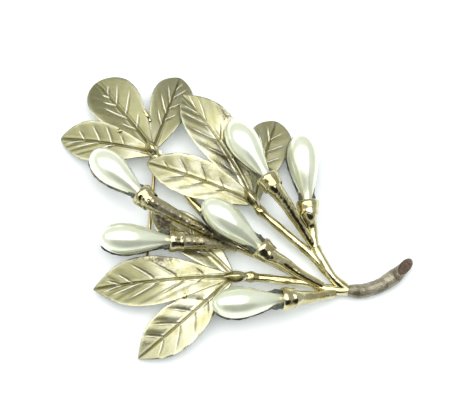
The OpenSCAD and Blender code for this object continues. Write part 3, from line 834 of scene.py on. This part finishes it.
@dataclass
class LeafSprigs:
    """The three sprigs of three leaves, with the knot on each and the ties between leaves."""

    bench: Bench
    leaves: tuple[Leaf, ...] = LEAVES
    knot_d: float = 2.55
    tie_d: float = 1.15

    def knot(self, name: str, tip: Point, foot: Point) -> None:
        """One polished almond: a sine along it, flattened into four soft facets, with a keel on top.

        Args:
            name: its name, with the node's.
            tip: its end on the leaves.
            foot: its end on the branch.
        """
        tip, foot = np.array(tip) + (0, 0, 0.2), np.array(foot) + (0, 0, 0.45)
        s = np.linspace(0, 1, 60)
        radius = self.knot_d / 2 * np.sin(np.pi * s) ** 0.85 + 0.06
        path = np.column_stack([tip + (foot - tip) * s[:, None], radius])

        def facets(along: Array, angle: Array, rings: Array) -> Array:
            """Radius moved by a keel above and flat cheeks beside it."""
            keel = 0.12 * hill(np.angle(np.exp(1j * (angle - np.pi / 2))), 0, 0.28)
            return (keel - 0.07 * np.cos(4 * (angle - np.pi / 4))) * radius[:, None] / 1.1

        self.bench.fit(bar(path, 48, facets), "almond_" + name, Finish.POLISHED_GOLD, name)

    def tie(self, name: str, start: Array, end: Array) -> None:
        """A short round tie, thicker at its middle and ends, which run on a little into the two leaves.

        Args:
            name: its name, with the node's.
            start: its end on one leaf.
            end: its end on the other.
        """
        reach = unit(end - start) * 0.25
        s = np.linspace(0, 1, 24)
        closing = np.sin(np.pi * np.clip(s, 0.02, 0.98)) ** 0.2
        radius = self.tie_d / 2 * (1 + 0.25 * np.cos(2 * np.pi * s) ** 2) * closing
        path = np.column_stack([start - reach + (end - start + 2 * reach) * s[:, None], radius])
        self.bench.fit(bar(path, 24), "nub_" + name, Finish.POLISHED_GOLD, name)

    def build(self) -> None:
        """Makes the leaves, knots and ties."""
        by_name = {leaf.name: leaf for leaf in self.leaves}
        for leaf in self.leaves:
            self.bench.fit(leaf.skin(), "engraved_" + leaf.name, Finish.LEAF_GOLD, leaf.name)
        self.knot("knot_a", raised(-21.4, 16, 0.7), KNOT_A_FOOT)
        self.knot("knot_b", raised(1.2, 5.6, 0.4), KNOT_B_FOOT)
        self.knot("knot_c", raised(-4, -15.5, 0.6), KNOT_C_FOOT)
        for tie, (one, s1, t1), (other, s2, t2) in TIES:
            self.tie(tie, by_name[one].edge(s1, t1), by_name[other].edge(s2, t2))


# ---- buds ----

BUD_SHIFT = 9


@dataclass(frozen=True)
class Bud:
    """One pearl's place.

    It has its cup's mouth, where it points in degrees, its length share and its stalk's way down. How soiled
    its metal is and how long the cement's two fillets are come last, as shares.
    """

    number: int
    mouth: Point
    heading: float
    pitch: float
    share: float
    way: tuple[Point, ...]
    soiled: float = 0.0
    fillet: tuple[float, float] = (0.9, 0.9)


BUDS = (
    Bud(1, place(-23.3, 2.2, BUD_LEVEL + 2.6), 138, -8, 0.9,
        (place(-16, -1.8, 8.5), place(-11.2, -3.8, 6.8), place(-6.1, -5.6, 5), place(-0.8, -7.2, 3)),
        0.9, (0.7, 0.5)),
    Bud(2, place(-16.4, -8, BUD_LEVEL + 0.2), 180, 3, 0.99,
        (place(-7.9, -8, 6.4), place(-4.2, -8, 4.8), place(-0.6, -8.4, 2.9)), 0.9, (0.9, 1.15)),
    Bud(3, place(5.4, 7, BUD_LEVEL + 3.3), 122, -6, 0.95,
        (place(10.6, 1, 8), place(14, -2.9, 5.2), place(17.4, -7.2, 3.5)), 0.5, (0.6, 0.6)),
    Bud(4, place(4.1, -8.8, BUD_LEVEL + 0.6), 143, 6, 1,
        (place(10.2, -11.9, 5.4), place(14.3, -14.2, 4.2), place(19.4, -16.4, 2.8)), 0.2, (1.0, 1.2)),
    Bud(5, place(15.7, 2.8, BUD_LEVEL - 1.8), 96, 2, 0.98,
        (place(16.9, -2.8, 4), place(17.8, -7.6, 3.5)), 0.2, (0.7, 0.7)),
    Bud(6, place(9.4, -20.6, BUD_LEVEL - 0.5), 187, 5, 1,
        (place(17.2, -19.3, 4.2), place(22.4, -18, 2.5)), 0.3, (1.3, 1.3)),
)


@dataclass
class PearlBuds:
    """The six buds: pearl, metal tray under it, cement at its neck, and cup on a stalk. Sizes in mm."""

    bench: Bench
    buds: tuple[Bud, ...] = BUDS
    length: float = 16.2
    shoulder: float = 10.4
    neck_r: float = 1.3
    cup_length: float = 3.5
    stalk_r: float = 1.7
    stalk_end_r: float = 0.95
    tray_wall: float = 0.5
    tray_arc: float = 130.0
    gap: float = 0.04
    cement_length: float = 2.4

    def axes(self, bud: Bud) -> tuple[Array, Array, Array]:
        """Which way the bud points.

        Args:
            bud: the bud.

        Returns:
            Unit vectors along its run, to its downward side and to its level side.
        """
        h, p = math.radians(bud.heading), math.radians(bud.pitch)
        run = np.array((math.cos(p) * math.cos(h), math.cos(p) * math.sin(h), math.sin(p)))
        down = np.array((math.sin(p) * math.cos(h), math.sin(p) * math.sin(h), -math.cos(p)))
        return run, down, np.array((-math.sin(h), math.cos(h), 0.0))

    def turned(self, bud: Bud, u: Array, r: Array, angle: Array) -> Array:
        """Points round the bud's axis.

        Args:
            bud: the bud.
            u: distances from the mouth.
            r: distances from the axis.
            angle: angles from the downward side.

        Returns:
            The points, in mm.
        """
        run, down, side = self.axes(bud)
        out = down * np.cos(angle)[..., None] + side * np.sin(angle)[..., None]
        return np.array(bud.mouth) + run * u[..., None] + out * r[..., None]

    def marks(self, bud: Bud, u: Array, r: Array, angle: Array) -> Array:
        """The mark "place": the same measures, set apart for each bud so that no two share their grain."""
        return np.stack([u, r * np.cos(angle) + BUD_SHIFT * bud.number, r * np.sin(angle)], -1)

    def radius(self, u: Array, bud: Bud) -> Array:
        """A pearl's radius: a sine flank from the neck to the shoulder, then half an ellipse to the end.

        Args:
            u: distances from the mouth.
            bud: the bud.

        Returns:
            The radius in mm at each.
        """
        length, shoulder = self.length * bud.share, self.shoulder * bud.share
        turn = np.sin(np.pi / 2 * np.clip(u / shoulder, 0, 1))
        flank = self.neck_r + (PEARL_R - self.neck_r) * turn**1.5
        cap = PEARL_R * np.sqrt(np.clip(1 - ((u - shoulder) / (length - shoulder)) ** 2, 0, 1))
        return np.where(u < shoulder, flank, cap)

    def pearl(self, bud: Bud) -> None:
        """A pearl, closed at its end and at the foot of its peg.

        Args:
            bud: the bud.
        """
        length, shoulder = self.length * bud.share, self.shoulder * bud.share
        flank = np.linspace(-1.2, shoulder, 70, endpoint=False)
        cap = shoulder + (length - shoulder) * np.sin(np.linspace(0, np.radians(89.3), 44))
        u = np.concatenate([flank, cap])[:, None]
        u, angle = np.broadcast_arrays(u, around(96))
        r = self.radius(u, bud)
        rings = self.turned(bud, u, r, angle)
        skin = Skin(rings, {"place": self.marks(bud, u, r, angle)})
        self.bench.fit(skin, f"drop_{bud.number}", Finish.PEARL, f"pearl_{bud.number}")

    def shell(self, bud: Bud, u: Array, middle: float, reach: Array, inner: Array, outer: Array) -> Skin:
        """A curved strip round the bud's axis.

        Each ring runs along the outer side, from minus to plus its reach in degrees, and back along the inner
        side.

        Args:
            bud: the bud.
            u: distance of each ring from the mouth, as a column.
            middle: angle of the strip's middle from the downward side, in degrees.
            reach: half of each ring's arc, in degrees, on the way out.
            inner: radius inside, for each ring and place along the arc.
            outer: radius outside, in the same way.

        Returns:
            The strip.
        """
        n = inner.shape[1]
        way = np.sin(np.linspace(-np.pi / 2, np.pi / 2, n))[None, :]
        angle = np.radians(middle + reach * way)
        angle = np.concatenate([angle, angle[:, ::-1]], 1)
        r = np.concatenate([outer, inner[:, ::-1]], 1)
        u = np.broadcast_to(u, r.shape)
        rings = self.turned(bud, u, r, angle)
        return Skin(rings, {"place": self.marks(bud, u, r, angle), "shade_and_wear": np.zeros_like(rings)})

    def tray(self, bud: Bud) -> None:
        """The thin metal spoon under a pearl, its margin uneven.

        Args:
            bud: the bud.
        """
        u = np.linspace(0.2, 0.945 * self.length * bud.share, 70)[:, None]
        n = 40
        way = np.linspace(-1, 1, n)[None, :]
        spots = np.broadcast_arrays(u, way * 2 + BUD_SHIFT * bud.number, 0 * u)
        ragged = lumps(np.stack(spots, -1), 0.9, 3)
        reach = self.tray_arc / 2 * (1 + 0.05 * ragged)
        inner = self.radius(u, bud) + self.gap + 0 * way
        outer = inner + self.tray_wall * (1 + 0.1 * ragged) - 0.3 * self.tray_wall * way**8
        skin = self.shell(bud, u, 0.0, reach, inner, outer)
        self.bench.fit(skin, f"spoon_{bud.number}", Finish.OXIDISED_TRAY, f"pearl_tray_{bud.number}")

    def cement(self, bud: Bud) -> None:
        """The fillet of cement on each side of the neck, lumpy and thinning to nothing on the pearl.

        Args:
            bud: the bud.
        """
        for way, amount, side in ((1, bud.fillet[0], "left"), (-1, bud.fillet[1], "right")):
            u = np.linspace(-0.05, self.cement_length * amount + 0.3, 34)[:, None]
            n = 34
            across = np.linspace(-1, 1, n)[None, :]
            spots = np.broadcast_arrays(u, across * 3 + 7 * way + 13 * bud.number, 0 * u)
            bumps = lumps(np.stack(spots, -1), 0.7, 11)
            inner = self.radius(u, bud) + 0 * across
            thin = (1 - ease(0.2, 1.0, u / u.max())) * (1 - 0.6 * np.abs(across) ** 3)
            outer = inner + 0.02 + (0.75 + 0.25 * bumps) * thin * np.sqrt(amount)
            reach = 30 * (1 - 0.5 * ease(0.3, 1, u / u.max())) * (1 + 0.15 * bumps)
            skin = self.shell(bud, u, way * 92.5, reach, inner - 0.15, outer)
            self.bench.fit(skin, f"fillet_{bud.number}_{side}", Finish.CEMENT, f"cement_{bud.number}")

    def cup(self, bud: Bud) -> None:
        """The polished collar: convex, its rear edge turned back in three lobes with notches between them.

        Args:
            bud: the bud.
        """
        profile = course((
            (-2.5, 0.3, 0, 0), (-2.6, 1.5, 0.2, 0), (-2.75, 2.0, 0.9, 0), (-2.9, 2.22, 1, 0),
            (-2.65, 2.34, 0.8, 0), (-2.1, 2.42, 0.3, 0),
            (-1.4, 2.62, 0, 0), (-0.8, 2.72, 0, 0), (-0.3, 2.62, 0, 0), (0, 2.4, 0, 0),
            (0.05, 1.95, 0, 0), (-0.1, 1.5, 0, 0)), 7)
        u, r, share = (profile[:, k : k + 1] for k in range(3))
        angle = around(120)
        lobe = np.abs(np.sin(1.5 * (angle - np.radians(40 + 70 * bud.number)))) ** 0.7
        u, r = u - 0.55 * lobe * share, r + (0.1 * lobe - 0.08) * share
        angle = np.broadcast_to(angle, u.shape)
        rings = self.turned(bud, u, r, angle)
        pits = lumps(rings, 0.9, 20 + bud.number)
        r = r + (0.05 * lumps(rings, 1.6, 31) - 0.14 * bud.soiled * ease(0.35, 0.7, pits)) * (r > 2)
        rings = self.turned(bud, u, r, angle)
        shade_and_wear = np.zeros_like(rings)
        # Darker in the notches between the lobes, as painted shade, and in the pits of a soiled cup, as grime.
        shade_and_wear[..., 0] = 0.9 * share * (1 - lobe) ** 1.3 + bud.soiled * 0.7 * ease(0.35, 0.7, pits)
        skin = Skin(rings, {"place": self.marks(bud, u, r, angle), "shade_and_wear": shade_and_wear})
        self.bench.fit(skin, f"collar_{bud.number}", Finish.POLISHED_GOLD, f"bud_cup_{bud.number}")

    def stalk(self, bud: Bud) -> None:
        """The tapered stalk from inside the cup to the branch, rough along its top.

        Args:
            bud: the bud.
        """
        run = self.axes(bud)[0]
        mouth = np.array(bud.mouth)
        last = len(bud.way)
        taper = [self.stalk_r + (self.stalk_end_r - self.stalk_r) * (i + 1) / last for i in range(last)]
        stations = [
            station(tuple(mouth - run * 1.6), self.stalk_r + 0.3),
            station(tuple(mouth - run * (self.cup_length - 0.4)), self.stalk_r + 0.15),
            *(station(point, r) for point, r in zip(bud.way, taper)),
        ]
        path = course(stations, 26)

        def rough(along: Array, angle: Array, rings: Array) -> Array:
            """Soft lumps all round, and a crust on top."""
            top = ease(0.1, 0.9, np.sin(angle)) * bud.soiled
            return 0.1 * lumps(rings, 2.1, 41) + 0.09 * top * lumps(rings, 0.55, 42)

        skin = bar(path, BAR_SIDES, rough)
        skin.marks["shade_and_wear"][..., 1] = bud.soiled * 0.75 * ease(-0.1, 0.8, np.sin(around(BAR_SIDES)))
        skin.marks["place"][..., 1] += BUD_SHIFT * bud.number
        self.bench.fit(skin, f"stalk_{bud.number}", Finish.POLISHED_GOLD, f"bud_cup_{bud.number}")

    def build(self) -> None:
        """Makes every piece of every bud."""
        for bud in self.buds:
            self.cup(bud)
            self.stalk(bud)
            self.tray(bud)
            self.cement(bud)
            self.pearl(bud)


# ---- branches and stem ----


@dataclass(frozen=True)
class Twig:
    """A branch: the stations of its course, how lumpy and barky it is in mm, and its flare under a knot."""

    name: str
    stations: tuple[Station, ...]
    lumpy: float = 0.07
    bark: float = 0.0
    flare: float = 0.0
    collar: tuple[Station, ...] = ()


THICK = 1.2
THIN = 0.95
COLLAR_REACH = 1.3
COLLAR_R = 1.02


def collar(foot: Point, tip: Point) -> tuple[Station, ...]:
    """The station where a branch's collar ends, a little way up the knot that it holds."""
    way = np.subtract(tip, foot)
    return (station(tuple(np.array(foot) + way / np.linalg.norm(way) * COLLAR_REACH), COLLAR_R),)


TWIGS = (
    Twig("right_branch", (station(FORK[:3], THICK), station(place(21.8, -14.1, 2.6), THICK),
                          station(place(19.3, -10.4, 3.1), THICK), station(place(17.8, -7.6, 3.5), THICK)),
         0.1, 0.03),
    Twig("middle_branch", (station(place(20.8, -13, 2.5), THICK), station(place(16.7, -9, 2.9), 1.075),
                           station(place(11, -4.4, 3.4), THIN), station(KNOT_B_FOOT, THIN)), 0.09, 0.02, 0.3,
         collar(KNOT_B_FOOT, raised(1.2, 5.6, 0.4))),
    Twig("lower_branch", (station(FORK[:3], THICK), station(place(20.5, -17, 2.2), THICK),
                          station(place(16.5, -16, 2.8), THIN), station(place(11.2, -15.6, 3.4), THIN),
                          station(KNOT_C_FOOT, THIN)), 0.12, 0.09, 0.4,
         collar(KNOT_C_FOOT, raised(-4, -15.5, 0.6))),
    Twig("upper_branch", (station(place(17.4, -15.6, 1.9), THIN), station(place(14, -13.8, 1.6), THIN),
                          station(place(6.2, -10.2, 1.9), THIN), station(place(0.3, -7.8, 2.4), THIN),
                          station(place(-4.1, -3.8, 2.2), THIN), station(place(-8.6, 0.6, 2), THIN),
                          station(place(-14.4, 7.2, 2.4), THIN), station(KNOT_A_FOOT, THIN)), 0.07, 0.0, 0.3,
         collar(KNOT_A_FOOT, raised(-21.4, 16, 0.7))),
)


@dataclass
class Branchwork:
    """The polished branches and the bronze stem with its slanted cut end. Sizes in mm."""

    bench: Bench
    twigs: tuple[Twig, ...] = TWIGS

    def twig(self, twig: Twig) -> None:
        """One branch, slightly lumpy, swelling into a two-lobed collar where a knot sits on it.

        Args:
            twig: the branch.
        """
        path = course(twig.stations + twig.collar, 30)
        length = way_length(path)

        def relief(along: Array, angle: Array, rings: Array) -> Array:
            """Lumps, bark along the run, and the collar's swelling.

            Args:
                along: length along the branch, mm.
                angle: angle round it.
                rings: the plain surface's points.

            Returns:
                The added radius, mm.
            """
            swelling = twig.flare * hill(along, length - 1.7, 0.9)
            spots = np.broadcast_arrays(along / 3, 3 * np.cos(angle), 3 * np.sin(angle))
            ribs = lumps(np.stack(spots, -1), 0.7, 52)
            return twig.lumpy * lumps(rings, 2.4, 51) + twig.bark * ribs + swelling

        skin = bar(path, BAR_SIDES, relief)
        if twig.collar:
            run = unit(path[-1, :3] - path[-6, :3])
            near = ease(length - 1.6, length, skin.marks["place"][..., 0])
            cusps = (np.abs(np.cos(around(BAR_SIDES))) ** 1.5 - 0.5) * 1.5 * near
            skin.rings = skin.rings + run * cusps[..., None]
        skin.marks["shade_and_wear"][..., 1] = twig.bark * 3.5
        self.bench.fit(skin, "twig_" + twig.name, Finish.POLISHED_GOLD, twig.name)

    def stem(self) -> None:
        """The stem, thicker towards its end, which is cut on a slant and left with a rough face and a rim."""
        radius, end, sides = 1.65, 2.1, 56
        path = course((
            FORK, station(place(29, -17, radius), radius), station(place(33, -15.7, radius), radius),
            station(place(36.6, -13.4, radius + 0.3), (radius + end) / 2),
            station(place(39.4, -10.8, end + 0.3), end)), 26)
        length = way_length(path)

        def relief(along: Array, angle: Array, rings: Array) -> Array:
            """Lumps and grit, and a taper into the branches."""
            grit = 0.05 * lumps(rings, 2.2, 61) + 0.03 * lumps(rings, 0.5, 62)
            return grit - 0.4 * (1 - ease(-0.3, 2.4, along))

        skin = bar(path, sides, relief)
        angle = around(sides)
        run = unit(path[-1, :3] - path[-2, :3])
        along = skin.marks["place"][..., 0]
        near = ease(length - 5.0, length, along)
        slide = -(2.7 * np.sin(angle) + 0.4 * np.cos(angle) + 0.6) * near
        side = unit(np.cross(run, (0, 0, 1)))
        across = ((skin.rings - path[:, None, :3]) @ side) * 0.36 * near
        rings = skin.rings + run * slide[..., None] - side * across[..., None]
        last = rings[-1]
        middle = last.mean(0)
        shares = np.array((0.96, 0.9, 0.78, 0.62, 0.45, 0.28, 0.1))[:, None, None]
        face = middle + (last - middle) * shares
        sunk = 0.16 * ease(1.0, 0.75, -shares[..., 0] + 1.75) + 0.1 * lumps(face, 0.7, 63)
        face = face - run * (sunk * (shares[..., 0] < 0.95))[..., None]
        place_marks = np.concatenate([skin.marks["place"], (skin.marks["place"][-1:] * shares) + (5, 0, 0)])
        shade_and_wear = np.zeros((len(rings) + len(face), sides, 3))
        shade_and_wear[len(rings) :, :, 0] = (shares[..., 0] < 0.95) * 1.0
        shade_and_wear[len(rings) - 2 : len(rings) + 1, :, 2] = 1.0
        full = Skin(np.concatenate([rings, face]), {"place": place_marks, "shade_and_wear": shade_and_wear})
        self.bench.fit(full, "cut_stem", Finish.BRONZE_STEM, "main_stem")

    def build(self) -> None:
        """Makes the branches and the stem."""
        for twig in self.twigs:
            self.twig(twig)
        self.stem()


@dataclass
class PinAndCatch:
    """The pin with its hinge and catch, which keep the shapes that the frame gives them."""

    bench: Bench
    wires: tuple[str, ...] = ("pin_stem", "hinge_rivet", "catch_rotor")
    plates: tuple[str, ...] = ("hinge_bracket", "catch_housing")

    def build(self) -> None:
        """Dresses the pin, the rivet, the rotor and the two plates."""
        for node in self.wires:
            self.bench.dress(node, Finish.PIN_WIRE)
        for node in self.plates:
            self.bench.dress(node, Finish.FINDINGS)


# ---- studio ----


@dataclass
class Studio:
    """Pale floor, one broad soft light overhead, a tent of dimmer light, and the camera. Lengths in metres."""

    look: Point = (-0.138, -0.239, 0.961)
    right: Point = (0.990, 0.0, 0.142)
    aim: Point = (-0.000733, 0.004668, 0.001057)
    distance: float = 0.596
    lens: float = 200.0
    key_centre: Point = (-0.58, 0.14, 1.0)
    key_size: tuple[float, float] = (2.3, 1.05)
    key_radiance: float = 2.5
    tent: float = 0.58
    dark: Point = (0.22, -0.71, 0.67)

    def floor(self) -> None:
        """A wide pale plane under the object, faintly mottled."""
        low = CAD_BOX[0][2]
        mesh = bpy.data.meshes.new("floor")
        mesh.from_pydata([(x, y, low) for x, y in ((-3, -3), (3, -3), (3, 3), (-3, 3))], [], [(0, 1, 2, 3)])
        w = Wiring(bpy.data.materials.new("floor"))
        where = w.add("ShaderNodeTexCoord", {}, {}, "Object")
        mottle = w.add("ShaderNodeTexNoise", {}, {"Vector": where, "Scale": 30.0, "Detail": 2.0})
        mesh.materials.append(w.finish({
            "Base Color": w.mix(mottle, (0.93, 0.95, 0.955), (0.95, 0.96, 0.96)),
            "Roughness": 0.7,
            "Specular IOR Level": 0.2,
            "Emission Color": (0.82, 0.97, 1.0, 1.0),
            "Emission Strength": 0.16,
        }))
        floor = bpy.data.objects.new("floor", mesh)
        bpy.context.scene.collection.objects.link(floor)

    def key(self) -> None:
        """The broad light, as bright from every side of it."""
        light = bpy.data.lights.new("key", "AREA")
        light.shape = "RECTANGLE"
        light.size, light.size_y = self.key_size
        light.energy = self.key_radiance * math.pi * self.key_size[0] * self.key_size[1]
        lamp = bpy.data.objects.new("key", light)
        lamp.location = self.key_centre
        bpy.context.scene.collection.objects.link(lamp)

    def surround(self) -> None:
        """The tent's light, nearly black in the part of it that is left open towards the viewer."""
        w = Wiring(bpy.data.worlds.new("tent"))
        squeeze = np.array((0.62, 1.0, 1.0))
        middle = tuple(unit(np.array(self.dark) * squeeze))
        where = w.add("ShaderNodeTexCoord", {}, {}, "Generated")
        flat = w.add("ShaderNodeVectorMath", {"operation": "MULTIPLY"}, {0: where, 1: tuple(squeeze)})
        even = w.add("ShaderNodeVectorMath", {"operation": "NORMALIZE"}, {0: flat})
        dot = w.add("ShaderNodeVectorMath", {"operation": "DOT_PRODUCT"}, {0: even, 1: middle}, "Value")
        strength = w.add("ShaderNodeMapRange", {"interpolation_type": "SMOOTHSTEP"}, {
            "Value": dot,
            "From Min": math.cos(math.radians(36)),
            "From Max": math.cos(math.radians(25)),
            "To Min": self.tent,
            "To Max": 0.03,
        })
        glow = w.add("ShaderNodeBackground", {}, {"Color": (0.97, 1.0, 1.0, 1.0), "Strength": strength})
        w.end(glow, "ShaderNodeOutputWorld")
        bpy.context.scene.world = w.owner

    def camera(self) -> None:
        """The camera, on the line of sight, upright in the view."""
        data = bpy.data.cameras.new("camera")
        data.lens, data.sensor_width = self.lens, 36.0
        data.clip_start, data.clip_end = 0.01, 20.0
        cam = bpy.data.objects.new("camera", data)
        away = Vector(self.look).normalized()
        side = Vector(self.right).normalized()
        top = away.cross(side).normalized()
        side = top.cross(away)
        cam.matrix_world = Matrix((
            (side.x, top.x, away.x, 0), (side.y, top.y, away.y, 0), (side.z, top.z, away.z, 0), (0, 0, 0, 1)))
        cam.location = Vector(self.aim) + away * self.distance
        bpy.context.scene.collection.objects.link(cam)
        bpy.context.scene.camera = cam

    def build(self) -> None:
        """Sets the whole studio up."""
        self.floor()
        self.key()
        self.surround()
        self.camera()
        bpy.context.scene.view_settings.view_transform = "Standard"
        LOG.info("studio: floor, light, tent and camera")


def main() -> None:
    """Makes the brooch's pieces and the studio."""
    logging.basicConfig(level=logging.INFO, format="%(name)s: %(message)s")
    bench = Bench()
    LeafSprigs(bench).build()
    PearlBuds(bench).build()
    Branchwork(bench).build()
    PinAndCatch(bench).build()
    Studio().build()


if __name__ == "__main__":
    main()
